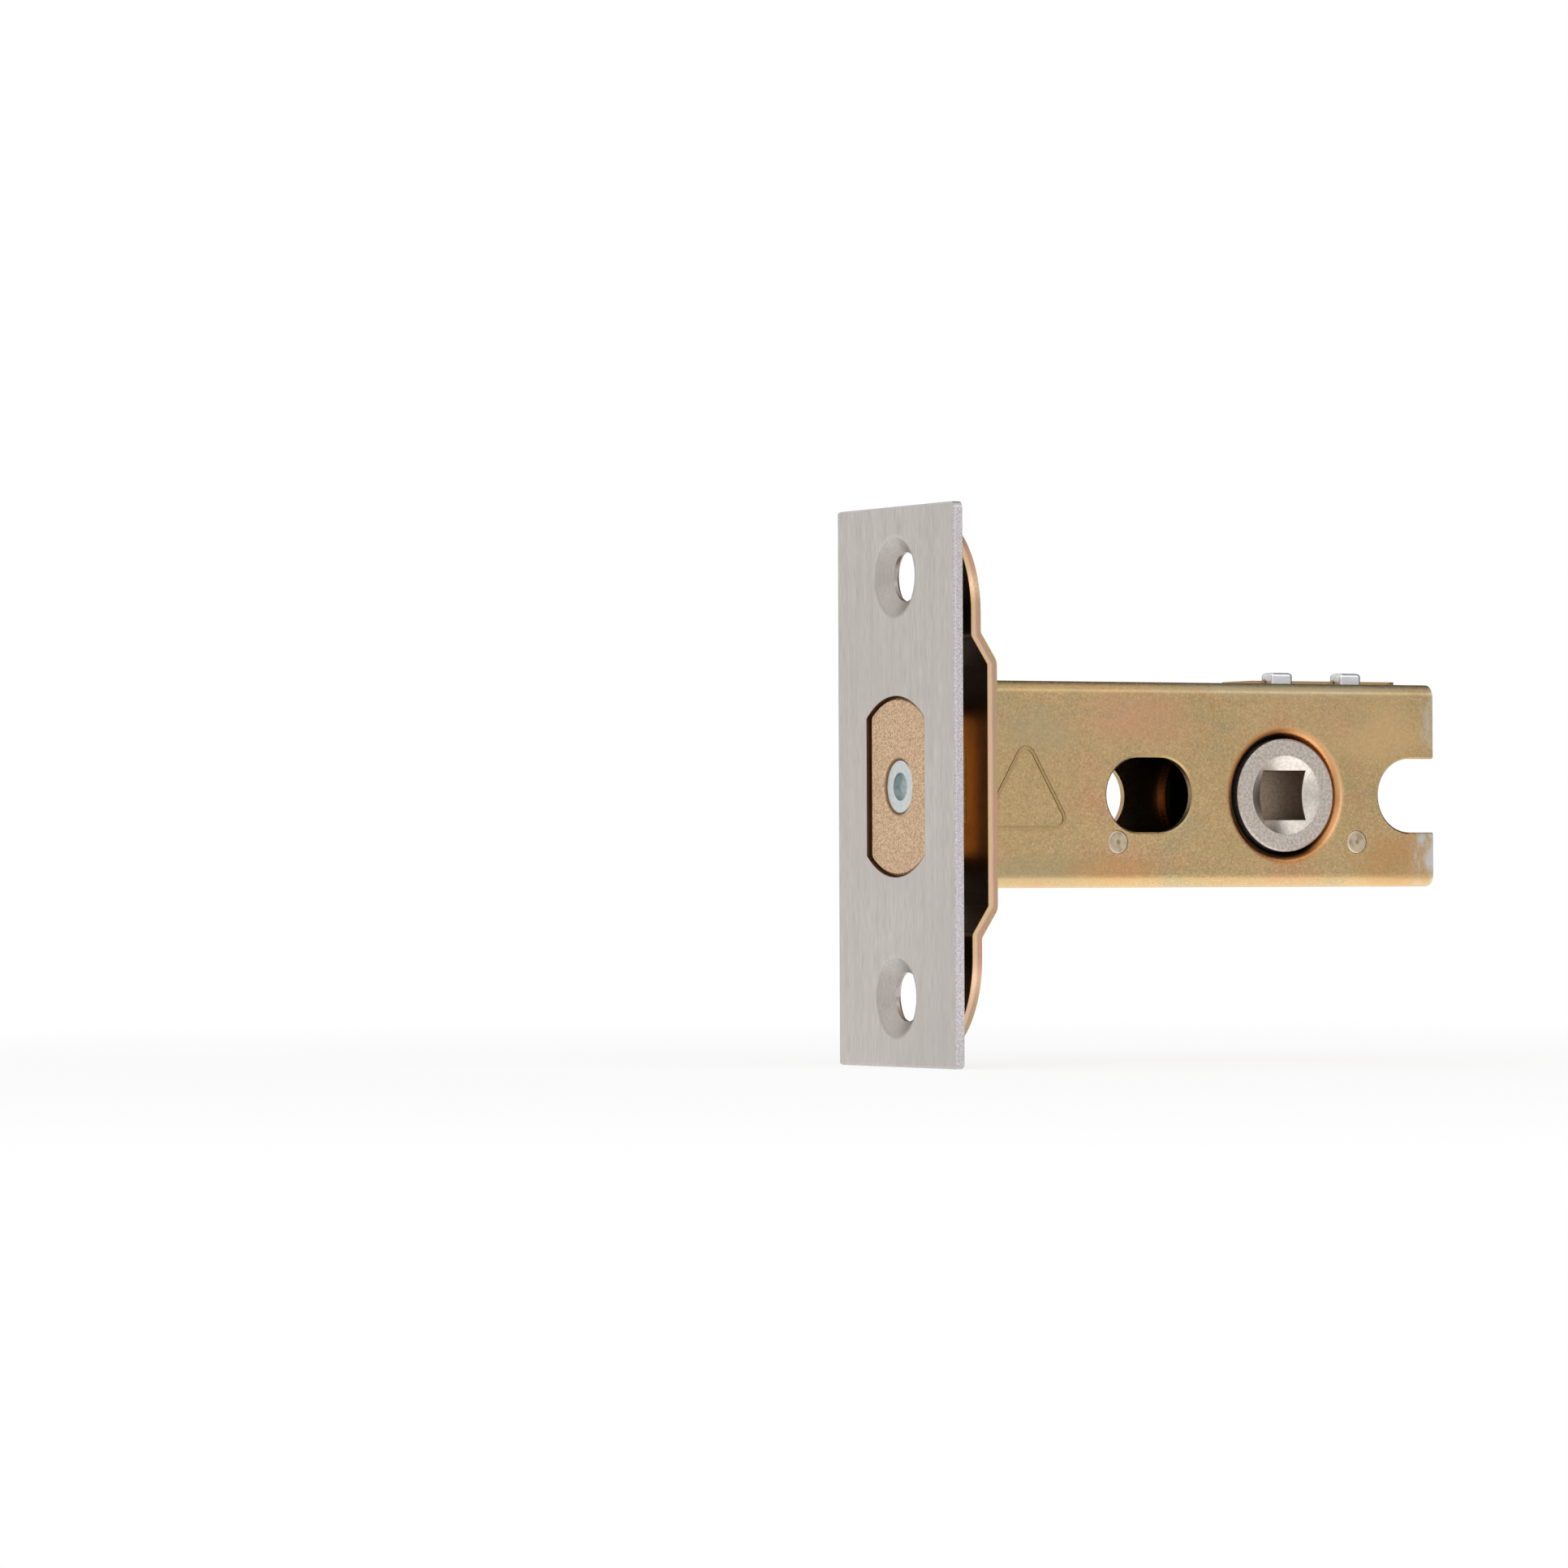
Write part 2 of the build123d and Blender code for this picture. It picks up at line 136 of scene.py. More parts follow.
# %% Helpers: finishes
class Finish(Nodes):
    """A metal finish: one Principled shader, and the patterns that feed it."""

    def __init__(self, name, metallic=1.0):
        self.material = bpy.data.materials.new(name)
        self.material.use_nodes = True
        super().__init__(self.material.node_tree)
        self.shader = self.tree.nodes["Principled BSDF"]
        self.shader.inputs["Metallic"].default_value = metallic
        self.place = self.node("ShaderNodeTexCoord").outputs["Object"]

    def shifted(self, centre, stretch=(1, 1, 1)):
        """Object coordinates counted from a centre and stretched along the axes."""
        offset = [-c * s for c, s in zip(centre, stretch)]
        inputs = [("Vector", self.place), ("Location", offset), ("Scale", stretch)]
        return self.node("ShaderNodeMapping", inputs).outputs["Vector"]

    def noise(self, size, stretch=(1, 1, 1), detail=2.0, start=(0, 0, 0)):
        """Soft random pattern with features of about a size, drawn out along the axes."""
        where = self.shifted(start, [s / size for s in stretch])
        inputs = [("Vector", where), ("Scale", 1.0), ("Detail", detail)]
        return self.node("ShaderNodeTexNoise", inputs).outputs["Fac"]

    def away(self, centre, across, flat=(1, 1, 1)):
        """Distance from a centre, in units of a length; a zero in flat ignores that axis."""
        where = self.shifted(centre, [f / across for f in flat])
        return self.node("ShaderNodeVectorMath", [(0, where)], operation="LENGTH").outputs["Value"]

    def mixed(self, share, first, second):
        """Colour between two, by a share from 0 to 1."""
        mix = self.node("ShaderNodeMix", [(0, share), (6, first), (7, second)], data_type="RGBA")
        return mix.outputs[2]

    def between(self, pattern, low, high, first, second):
        """Colour that goes from the first to the second as a pattern goes from low to high."""
        return self.mixed(self.ramp(pattern, low, high), first, second)

    def feed(self, socket, value):
        """Value or pattern into a socket of the shader."""
        if isinstance(value, bpy.types.NodeSocket):
            self.tree.links.new(value, self.shader.inputs[socket])
        else:
            self.shader.inputs[socket].default_value = value

    def colour(self, value):
        """Colour of the metal."""
        self.feed("Base Color", value)

    def gloss(self, value):
        """Roughness of the surface, from 0 for a mirror to 1 for chalk."""
        self.feed("Roughness", value)

    def relief(self, height, depth, soften=None):
        """Pattern pressed in to a depth in metres; edges can be softened over a radius."""
        inputs = [("Height", height), ("Distance", depth), ("Strength", 1.0)]
        bump = self.node("ShaderNodeBump", inputs)
        if soften:
            rounded = self.node("ShaderNodeBevel", [("Radius", soften)], samples=8)
            self.tree.links.new(rounded.outputs["Normal"], bump.inputs["Normal"])
        self.feed("Normal", bump.outputs["Normal"])

    def onto(self, *names):
        """The finish goes on these CAD pieces."""
        for name in names:
            nodes[name].data.materials.clear()
            nodes[name].data.materials.append(self.material)
        print(self.material.name, "on", ", ".join(names))


# %% [markdown]
# ## Brushed stainless faceplate
# The faceplate is drawn over a belt along its height, which leaves fine upright scratches that
# shimmer between lighter and darker. An anisotropic shader could smear the reflections, but the
# single scratches would be missing. Noise drawn out along Z gives them, in two sizes.

# %% Brushed stainless: the brushing
brush_dark, brush_light = shade(187, 181, 175), shade(218, 212, 206)
brush_cloud = shade(196, 191, 186)
scratch_size, streak_size, cloud_size = 0.11 * MM, 0.7 * MM, 14 * MM
scratch_share, streak_share, cloud_share = 0.75, 0.25, 0.4
brush_depth = 0.008 * MM
stainless = Finish("satin_stainless")
scratches = stainless.noise(scratch_size, stretch=(1, 1, 0.05), detail=3.0)
streaks = stainless.noise(streak_size, stretch=(1, 1, 0.06), start=(0.3, 0.1, 0.2))
clouds = stainless.noise(cloud_size, start=(0.05, 0.02, 0.01))
brushing = stainless.math("ADD", stainless.times(scratches, scratch_share),
                          stainless.times(streaks, streak_share))
plate = stainless.between(brushing, *MOST, brush_dark, brush_light)
plate = stainless.mixed(stainless.ramp(clouds, 0.35, 0.7, out_high=cloud_share), plate, brush_cloud)
stainless.gloss(stainless.ramp(brushing, 0.25, 0.75, 0.34, 0.5))
stainless.relief(brushing, brush_depth)
print("scratches", scratch_size / MM, "mm wide")

# %% [markdown]
# ## Countersinks and cut edges of the faceplate
# The pressed countersinks get painted shade, a little over their cones and most of all in their
# lower half. The plate's edges are cut, not brushed, so they get an even speckle instead of lines,
# and the wall of the aperture gets painted shade and a painted brown reflection of the brass beside
# it. Faces could be picked by hand and given materials of their own. Here each place is found by
# its distance from a hole or from the plate's outline, so the finish stays one material.

# %% Brushed stainless: countersinks, edges and aperture
_, plate_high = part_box("faceplate")
screw_spacing, countersink_radius = 45 * MM, 4.5 * MM
cone_fade_low, cone_fade_high = 1.5 * MM, 4.2 * MM
cone_share, cone_top_share = 0.45, 0.05
aperture_half, aperture_radius, flat_blend = 6.32 * MM, 9.72 * MM, 0.02 * MM
edge_start, edge_end, edge_grain = 0.22 * MM, 0.1 * MM, 0.16 * MM
countersink_shade, aperture_shade_and_reflection = shade(150, 142, 136), shade(128, 101, 81)
cut_dark, cut_light = shade(180, 173, 174), shade(218, 213, 215)
plate_place = stainless.split(stainless.place)
# Painted shade in the countersinks, strongest in their lower half.
for z in (-screw_spacing / 2, screw_spacing / 2):
    from_hole = stainless.away((0, 0, z), countersink_radius, flat=(0, 1, 1))
    lower_half_shade = stainless.ramp(plate_place["Z"], z + cone_fade_low, z + cone_fade_high,
                               cone_share, cone_top_share)
    cone = stainless.times(stainless.fall(from_hole, 0.94, 1.03), lower_half_shade)
    plate = stainless.mixed(cone, plate, countersink_shade)
across = stainless.math("ABSOLUTE", plate_place["Y"])
upwards = stainless.math("ABSOLUTE", plate_place["Z"])
side_edge = stainless.ramp(across, plate_high.y - edge_start, plate_high.y - edge_end)
end_edge = stainless.ramp(upwards, plate_high.z - edge_start, plate_high.z - edge_end)
edge_speckle = stainless.noise(edge_grain, detail=4.0, start=(0.07, 0.03, 0.02))
cut_edge = stainless.between(edge_speckle, 0.32, 0.68, cut_dark, cut_light)
plate = stainless.mixed(stainless.math("MAXIMUM", side_edge, end_edge), plate, cut_edge)
# Painted shade and a painted brown reflection of the brass on the wall of the aperture.
from_bolt = stainless.away((0, 0, 0), aperture_radius, flat=(0, 1, 1))
between_flats = stainless.fall(across, aperture_half, aperture_half + flat_blend)
aperture_wall = stainless.times(between_flats, stainless.fall(from_bolt, 1.0, 1.002))
stainless.colour(stainless.mixed(aperture_wall, plate, aperture_shade_and_reflection))
stainless.onto("faceplate")

# %% [markdown]
# ## Yellow passivate
# Zinc plate dipped in yellow passivate is tan gold with a thin film that drifts to pink, olive
# and grey green, and has a fine sandy grain. A thin film shader could work out such colours, but
# it is hard to steer. Large soft noises tint the colour instead, one after another, and a fine
# grain breaks the gloss. The case, the forend plate and the mark all use this function.

# %% Yellow passivate
case_low, case_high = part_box("case")
gold, olive_gold = shade(190, 160, 116), shade(181, 156, 111)
blush_pink, haze_green = shade(196, 142, 112), shade(162, 154, 122)
grain_light, grain_dark = shade(222, 194, 150), shade(136, 108, 70)
drift_size, blush_size, haze_size, grain_size = 12 * MM, 7 * MM, 4 * MM, 0.19 * MM
grain_depth = 0.012 * MM


def passivated(name):
    """Yellow passivate: the finish, its colour, its haze pattern and its roughness."""
    made = Finish(name)
    drift = made.noise(drift_size, stretch=(0.7, 1, 1.3), start=(0.013, 0.04, 0.021))
    blush = made.noise(blush_size, stretch=(0.6, 1, 1.1), start=(0.11, 0.02, 0.034))
    haze = made.noise(haze_size, stretch=(0.6, 1, 1), detail=4.0, start=(0.2, 0.14, 0.05))
    grain = made.noise(grain_size, detail=3.0)
    film = made.between(drift, 0.36, 0.64, gold, olive_gold)
    film = made.mixed(made.ramp(blush, 0.54, 0.7, out_high=0.5), film, blush_pink)
    film = made.mixed(made.ramp(haze, 0.52, 0.68, out_high=0.45), film, haze_green)
    film = made.mixed(made.ramp(grain, 0.5, 0.7, out_high=0.4), film, grain_light)
    film = made.mixed(made.ramp(grain, 0.5, 0.3, out_high=0.3), film, grain_dark)
    grain_gloss = made.ramp(grain, *MOST, 0.3, 0.46)
    made.gloss(grain_gloss)
    made.relief(grain, grain_depth)
    return made, film, haze, grain_gloss


print("passivate has a grain of", grain_size / MM, "mm")

# %% [markdown]
# ## Tints of the folded case
# On the case the film is thicker in some places than in others, and where the tail corners rub
# in a box it is gone and blue white zinc shows. The patch along the top bend is also lightened as
# a painted highlight. The tints could be painted by hand on an image. A few soft patches with
# ragged outlines do the same without one, and stay sharp close up.

# %% Folded case: tints of the film and rubbed corners
peach, olive, deep_olive = shade(204, 150, 120), shade(166, 158, 128), shade(164, 152, 118)
amber, grey_green_and_highlight, straw = shade(194, 142, 96), shade(184, 174, 146), shade(208, 174, 126)
copper, bare_zinc, dusty_zinc = shade(184, 138, 88), shade(200, 204, 202), shade(190, 194, 188)
scuff_size = 1.0 * MM
raggedness = 1.3
passivate, film, haze, grain_gloss = passivated("yellow_passivate")
ragged = passivate.times(haze, raggedness)
scuffs = passivate.noise(scuff_size, stretch=(1, 1, 0.4), detail=4.0, start=(0.31, 0.22, 0.17))
rubbed = passivate.ramp(scuffs, 0.32, 0.66)


def tinted(film, x, z, reach, strength, colour, worn=1.0):
    """Film with a soft patch of another colour on the near wall; places are in millimetres."""
    from_patch = passivate.away((x * MM, case_low.y, z * MM), MM, flat=[1 / r for r in reach])
    share = passivate.fall(passivate.math("ADD", from_patch, ragged), 0.9, 1.8, strength)
    return passivate.mixed(passivate.times(share, worn), film, colour)


film = tinted(film, 25.5, 7.5, (9, 20, 3.4), 0.45, peach)
film = tinted(film, 13, 6, (6, 20, 3), 0.4, olive)
film = tinted(film, 12, -8.8, (10, 20, 2.2), 0.5, deep_olive)
film = tinted(film, 23, -9, (7, 20, 1.6), 0.5, amber)
# Grey green film along the top bend, lightened as a painted highlight.
film = tinted(film, 46, 11, (22, 6, 1.5), 0.6, grey_green_and_highlight)
film = tinted(film, 57, 6, (7, 20, 4.5), 0.5, straw)
film = tinted(film, 58, -8, (6, 20, 3.4), 0.5, copper)
film = tinted(film, 63.2, -7, (2.9, 10, 4.6), 0.9, bare_zinc, rubbed)
film = tinted(film, 63.4, 8, (1.8, 10, 4.6), 0.5, dusty_zinc, rubbed)
print("film tinted on the wall at Y", round(case_low.y / MM, 2), "mm")

# %% [markdown]
# ## Collars of the case
# Round the follower the wall is rolled inwards, and the film is stretched, burnished and coppery
# there. Painted shade darkens the throat and the side towards the faceplate, and a painted
# highlight lightens the roll and the throat towards the tail.
# A second material on the collar's faces would end in a hard line. Distance from the spindle's
# axis lets the colours run into each other, as they do on the metal.

# %% Collars
spindle = mounts["spindle"]
collar_radius = 7.6 * MM
lit_side_start, lit_side_end, lit_side_lean = 0.4 * MM, 5.2 * MM, 0.29
roll_copper, roll_highlight = shade(190, 122, 66), shade(214, 168, 122)
throat_shadow, throat_lit_copper = shade(44, 27, 13), shade(186, 124, 72)
case_place = passivate.split(passivate.place)
from_spindle = passivate.away(spindle, collar_radius, flat=(1, 0, 1))
leaned = passivate.math("ADD", case_place["X"], passivate.times(case_place["Z"], lit_side_lean))
lit_side = passivate.ramp(leaned, spindle.x + lit_side_start, spindle.x + lit_side_end)
# Painted highlight on the roll towards the tail, and painted shadow in the throat towards the
# faceplate.
rolled = passivate.fall(from_spindle, 0.93, 1.01, 0.9)
film = passivate.mixed(rolled, film, passivate.mixed(lit_side, roll_copper, roll_highlight))
throat_edge = passivate.math("ADD", from_spindle, passivate.times(lit_side, 0.03))
throat_shade = passivate.fall(throat_edge, 0.88, 0.985)
film = passivate.mixed(throat_shade, film, passivate.mixed(lit_side, throat_shadow, throat_lit_copper))
burnished = passivate.ramp(from_spindle, 0.92, 1.0, 0.6, 1.0)
passivate.gloss(passivate.times(grain_gloss, burnished))
print("collars round X", round(spindle.x / MM, 2), "mm, radius", round(collar_radius / MM, 2), "mm")

# %% [markdown]
# ## Inside of the case
# The inner faces get painted shade, so they are browner and darker than the outside. The
# inner faces could get a material of their own, but the CAD mesh is left as it is. So the shader
# asks where it is: between the walls, under the roof, over the floor and outside the collars.

# %% Inside of the case
sheet = 1.0 * MM
inner_half, inner_floor, inner_top = case_high.y - sheet, case_low.z + sheet, 10.35 * MM
wall_blend, roof_blend = 0.1 * MM, 0.2 * MM
inside_shade = shade(80, 62, 34)
sideways = passivate.math("ABSOLUTE", case_place["Y"])
between_walls = passivate.fall(sideways, inner_half - wall_blend, inner_half + wall_blend)
below_roof = passivate.fall(case_place["Z"], inner_top, inner_top + roof_blend)
above_floor = passivate.ramp(case_place["Z"], inner_floor - roof_blend, inner_floor)
inside = passivate.times(between_walls, passivate.times(below_roof, above_floor))
off_collar = passivate.ramp(from_spindle, 0.995, 1.005)
# Painted shade on the inner faces of the case, kept off the collars.
passivate.colour(passivate.mixed(passivate.times(inside, off_collar), film, inside_shade))
passivate.onto("case")

# %% [markdown]
# ## The forend's sheared edge
# The forend plate is blanked from sheet, and its edge shows the two bands of every shear cut:
# a smooth bright one where the punch slid, and a rougher pink one where the metal tore. Its front
# face, behind the faceplate, gets painted shade and a painted amber glow that stands for light
# from the brass bolt beside it. The bands could be cut in as loops of faces. The depth in the
# sheet finds them without a change of mesh. The plate is joggled, so that depth counts from its
# front face, which steps forward with height.

# %% Forend plate
fore_low, fore_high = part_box("forend_plate")
fore_sheet = 1.2 * MM
joggle_low, joggle_high = 12.8 * MM, 15.8 * MM
band_length = 5 * MM
slid_gold, slid_pink = shade(222, 191, 148), shade(226, 188, 161)
torn_pink, torn_olive = shade(194, 151, 137), shade(182, 156, 128)
sheared, fore_film, fore_haze, _ = passivated("yellow_passivate_forend")
fore_place = sheared.split(sheared.place)
height = sheared.math("ABSOLUTE", fore_place["Z"])
front = sheared.node("ShaderNodeMapRange", [
    (0, height), (1, joggle_low), (2, joggle_high),
    (3, fore_high.x - fore_sheet), (4, fore_low.x)]).outputs[0]
depth = sheared.math("DIVIDE", sheared.math("SUBTRACT", fore_place["X"], front), fore_sheet)
wavering = sheared.math("ADD", depth, sheared.times(fore_haze, 0.2))
along = sheared.noise(band_length, stretch=(0.1, 0.1, 1), start=(0.01, 0.02, 0.043))
slid = sheared.between(along, 0.38, 0.5, slid_gold, slid_pink)
torn = sheared.between(along, 0.42, 0.56, torn_pink, torn_olive)
edge_film = sheared.between(wavering, 0.5, 0.72, slid, torn)
in_edge = sheared.times(sheared.ramp(depth, 0.04, 0.1), sheared.fall(depth, 0.9, 0.97))
fore_film = sheared.mixed(sheared.times(in_edge, 0.85), fore_film, edge_film)
print("forend sheet", round(fore_sheet / MM, 2), "mm")

# %% Forend plate: painted shade and a painted amber glow on its front face
front_face_shade, painted_amber_glow = shade(92, 66, 36), shade(220, 146, 50)
glow_side_far, glow_side_near = 11.5 * MM, 8.5 * MM
glow_high, glow_low = 9 * MM, 6 * MM
front_face = sheared.fall(depth, 0.01, 0.05)
fore_side = sheared.math("ABSOLUTE", fore_place["Y"])
near_middle = sheared.ramp(fore_side, glow_side_far, glow_side_near, 0.25, 1.0)
near_bolt = sheared.times(near_middle, sheared.ramp(height, glow_high, glow_low))
glow_share = sheared.times(near_bolt, sheared.ramp(fore_haze, 0.3, 0.6, 0.6, 1.0))
# Painted shade on the front face, with a painted amber glow near the bolt.
painted_glow = sheared.mixed(glow_share, front_face_shade, painted_amber_glow)
sheared.colour(sheared.mixed(front_face, fore_film, painted_glow))
sheared.onto("forend_plate")

# %% [markdown]
# ## Sintered brass bolt
# The bolt head is pressed from brass powder and baked, so it has no machining marks but an even
# matt grain with tiny pores. Small dents could be modelled, but they are a fifth of a millimetre
# across. Two noises, one at the size of the powder and one a little coarser for the pores, give
# the speckle. The mouth of the rivet's hole gets painted shade and is browner.

# %% Sintered brass
rivet_seat = 2.85 * MM
powder_size, pore_size, powder_depth = 0.19 * MM, 0.28 * MM, 0.016 * MM
brass_dark, brass_light = shade(180, 147, 113), shade(242, 212, 178)
pore_brown, rivet_mouth_shade = shade(166, 132, 99), shade(104, 70, 40)
brass = Finish("sintered_brass")
powder = brass.noise(powder_size, detail=4.0)
pores = brass.noise(pore_size, detail=2.0, start=(0.02, 0.05, 0.08))
body = brass.between(powder, *MOST, brass_dark, brass_light)
body = brass.mixed(brass.ramp(pores, 0.6, 0.72, out_high=0.35), body, pore_brown)
# Painted shade in the mouth of the rivet's hole.
from_rivet = brass.away((0, 0, 0), rivet_seat, flat=(0, 1, 1))
brass.colour(brass.mixed(brass.fall(from_rivet, 1.03, 1.13, 0.85), body, rivet_mouth_shade))
brass.gloss(brass.ramp(powder, *MOST, 0.42, 0.6))
brass.relief(powder, powder_depth)
brass.onto("bolt_head")

# %% [markdown]
# ## Zinc plated rivet in the bolt
# The rivet's rim is blue white zinc, and its hollow end is a darker grey. Rim
# and hollow could be two materials. Distance from the rivet's axis tells them apart, so one
# material serves the whole piece.

# %% Blue white zinc
hollow_radius = 1.5 * MM
plating_size, plating_depth = 0.5 * MM, 0.008 * MM
rim_dark, rim_light = shade(203, 210, 208), shade(219, 224, 223)
hollow_dark, hollow_light = shade(152, 168, 168), shade(178, 190, 190)
zinc_rivet = Finish("clear_zinc")
from_axis = zinc_rivet.away((0, 0, 0), hollow_radius, flat=(0, 1, 1))
plating = zinc_rivet.noise(plating_size, detail=3.0)
rim = zinc_rivet.between(plating, *MIDDLE, rim_dark, rim_light)
hollow_end = zinc_rivet.between(plating, *MIDDLE, hollow_dark, hollow_light)
zinc_rivet.colour(zinc_rivet.between(from_axis, 0.97, 1.03, hollow_end, rim))
zinc_rivet.gloss(zinc_rivet.ramp(plating, *MOST, 0.28, 0.42))
zinc_rivet.relief(plating, plating_depth)
zinc_rivet.onto("bolt_pin")

# %% [markdown]
# ## Nickel plated follower
# The follower is turned and plated: its flat ring is satin with fine specks, the dish round the
# hole is smooth and bright, and the broached square is dull, with painted shade that makes it
# brown grey. The hub behind the ring gets painted shade. These could be four materials on picked
# faces. All follow from the place on the part instead: distance from the spindle's axis, the
# square's half width and depth.

# %% Satin nickel
square_half, dish_radius = 2.72 * MM, 4.3 * MM
bearing_end, bearing_blend = 5.5 * MM, 0.3 * MM
speck_size, speck_depth, broach_size = 0.3 * MM, 0.006 * MM, 0.3 * MM
ring_dark, ring_light = shade(172, 162, 153), shade(202, 192, 183)
dish_dark, dish_light = shade(190, 181, 172), shade(207, 199, 191)
broach_shade_dark, broach_shade_light = shade(124, 104, 85), shade(140, 120, 101)
hub_shade = shade(48, 38, 28)
nickel = Finish("satin_nickel")
turned = nickel.away(spindle, dish_radius, flat=(1, 0, 1))
specks = nickel.noise(speck_size, detail=4.0)
broaching = nickel.noise(broach_size, stretch=(1, 0.5, 1), detail=3.0, start=(0.01, 0.02, 0.03))
ring = nickel.between(specks, *MIDDLE, ring_dark, ring_light)
dish = nickel.between(specks, *MIDDLE, dish_dark, dish_light)
# Painted shade on the walls of the square.
shaded_flank = nickel.between(broaching, *MIDDLE, broach_shade_dark, broach_shade_light)
behind = nickel.math("ABSOLUTE", nickel.split(nickel.place)["Y"])
# Painted shade on the hub behind the ring.
ring = nickel.between(behind, bearing_end, bearing_end + bearing_blend, hub_shade, ring)
outside_dish = nickel.ramp(turned, 0.97, 1.03)
square_place = nickel.split(nickel.shifted(spindle, (1 / square_half,) * 3))
along_x = nickel.math("ABSOLUTE", square_place["X"])
along_z = nickel.math("ABSOLUTE", square_place["Z"])
outside_square = nickel.ramp(nickel.math("MAXIMUM", along_x, along_z), 0.995, 1.01)
face = nickel.mixed(outside_dish, dish, ring)
nickel.colour(nickel.mixed(outside_square, shaded_flank, face))
ring_gloss = nickel.ramp(specks, *MOST, 0.36, 0.5)
nickel.gloss(nickel.ramp(nickel.times(outside_dish, ring_gloss), 0.0, 0.5, 0.31, 0.5))
nickel.relief(specks, speck_depth)
nickel.onto("follower")

# %% [markdown]
# ## Cross pins
# The pins' ends are dull grey zinc with a brighter rim and a small dot where the setting punch
# stood. The dot is too shallow to be worth cutting, so it is a darker spot in the colour. The two
# pins stand in different places, so each gets a material that knows its own axis.

# %% Dull zinc pins
pin_radius = 1.25 * MM
blotch_size, blotch_depth = 0.8 * MM, 0.02 * MM
pin_dark, pin_light = shade(166, 149, 124), shade(192, 177, 153)
dot_brown, pin_rim = shade(126, 112, 92), shade(202, 192, 174)
for pin in ("stop_pin", "guide_pin"):
    pin_low, pin_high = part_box(pin)
    dull = Finish("dull_zinc_" + pin)
    blotches = dull.noise(blotch_size, detail=4.0, start=(0.03, 0.01, 0.07))
    pin_end = dull.between(blotches, *MIDDLE, pin_dark, pin_light)
    from_centre = dull.away((pin_low + pin_high) / 2, pin_radius, flat=(1, 0, 1))
    pin_end = dull.mixed(dull.fall(from_centre, 0.12, 0.3, 0.7), pin_end, dot_brown)
    dull.colour(dull.between(from_centre, 0.82, 0.92, pin_end, pin_rim))
    dull.gloss(dull.ramp(blotches, *MOST, 0.42, 0.58))
    dull.relief(blotches, blotch_depth)
    dull.onto(pin)

# %% [markdown]
# ## Keeper
# The keeper's two heads are bright zinc, burnished by the press that spread them over the lap.
# Its edges could be bevelled further in the mesh, but CAD meshes are left as they are. A Bevel
# node softens the shading of the edges instead, so that they catch the light.

# %% Bright zinc keeper
burnish_size, burnish_depth, soft_edge = 0.6 * MM, 0.0015 * MM, 0.4 * MM
keeper_dark, keeper_light = shade(210, 211, 214), shade(226, 227, 230)
bright = Finish("bright_zinc")
burnish = bright.noise(burnish_size, stretch=(0.3, 1, 1), detail=3.0)
bright.colour(bright.between(burnish, *MIDDLE, keeper_dark, keeper_light))
bright.gloss(bright.ramp(burnish, *MOST, 0.26, 0.34))
bright.relief(burnish, burnish_depth, soften=soft_edge)
bright.onto("spring_keeper")

# %% [markdown]
# ## Tail and spring
# The tail is very dark brown sintered steel and the leaf is bare spring steel with lines from
# rolling. Both sit inside, where little of them shows, so one noise each is enough.

# %% Sintered steel tail and the leaf spring
tail_grain, tail_depth = 0.25 * MM, 0.02 * MM
tail_dark, tail_light = shade(40, 33, 26), shade(56, 47, 38)
tail_steel = Finish("sintered_steel")
tail_speckle = tail_steel.noise(tail_grain, detail=4.0)
tail_steel.colour(tail_steel.between(tail_speckle, *MOST, tail_dark, tail_light))
tail_steel.gloss(tail_steel.ramp(tail_speckle, *MOST, 0.4, 0.56))
tail_steel.relief(tail_speckle, tail_depth)
tail_steel.onto("bolt_tail")

rolling_width, rolling_depth = 0.12 * MM, 0.005 * MM
leaf_dark, leaf_light = shade(140, 142, 148), shade(170, 172, 176)
leaf_steel = Finish("spring_steel")
rolling = leaf_steel.noise(rolling_width, stretch=(0.03, 1, 1))
leaf_steel.colour(leaf_steel.between(rolling, *MOST, leaf_dark, leaf_light))
leaf_steel.gloss(leaf_steel.ramp(rolling, *MOST, 0.24, 0.36))
leaf_steel.relief(rolling, rolling_depth)
leaf_steel.onto("detent_spring")

# %% [markdown]
# ## The mark in the side of the case
# A plain triangle is coined into the wall to show which way up the case goes. Cutting it into
# the CAD piece would change its mesh, so the coined line is a low bead of its own: a triangle
# with its corners rounded by a vertex bevel, inset to a thin frame, raised a tenth of a
# millimetre and bevelled along its upper edges.

# %% Coined triangle: a flat frame
mark_x, mark_half = 11.7 * MM, 5.85 * MM
mark_top, mark_base = 5.55 * MM, -4.7 * MM
mark_corner, mark_line, mark_height, mark_bevel = 2.4 * MM, 0.42 * MM, 0.12 * MM, 0.11 * MM
bpy.ops.object.select_all(action="DESELECT")
bpy.ops.mesh.primitive_circle_add(vertices=3, radius=1.0, fill_type="NGON")
mark = bpy.context.object
mark.name = "way_up_mark"
corners = [(mark_x, mark_top), (mark_x + mark_half, mark_base), (mark_x - mark_half, mark_base)]
for vertex, (x, z) in zip(mark.data.vertices, corners):
    vertex.co = (x, case_low.y, z)
bpy.ops.object.mode_set(mode="EDIT")
bpy.ops.mesh.select_all(action="SELECT")
bpy.ops.mesh.bevel(offset=mark_corner, segments=10, affect="VERTICES", offset_type="OFFSET")
bpy.ops.mesh.select_all(action="SELECT")
bpy.ops.mesh.inset(thickness=mark_line)
bpy.ops.mesh.delete(type="FACE")
mark.update_from_editmode()
print("frame of", len(mark.data.polygons), "faces")

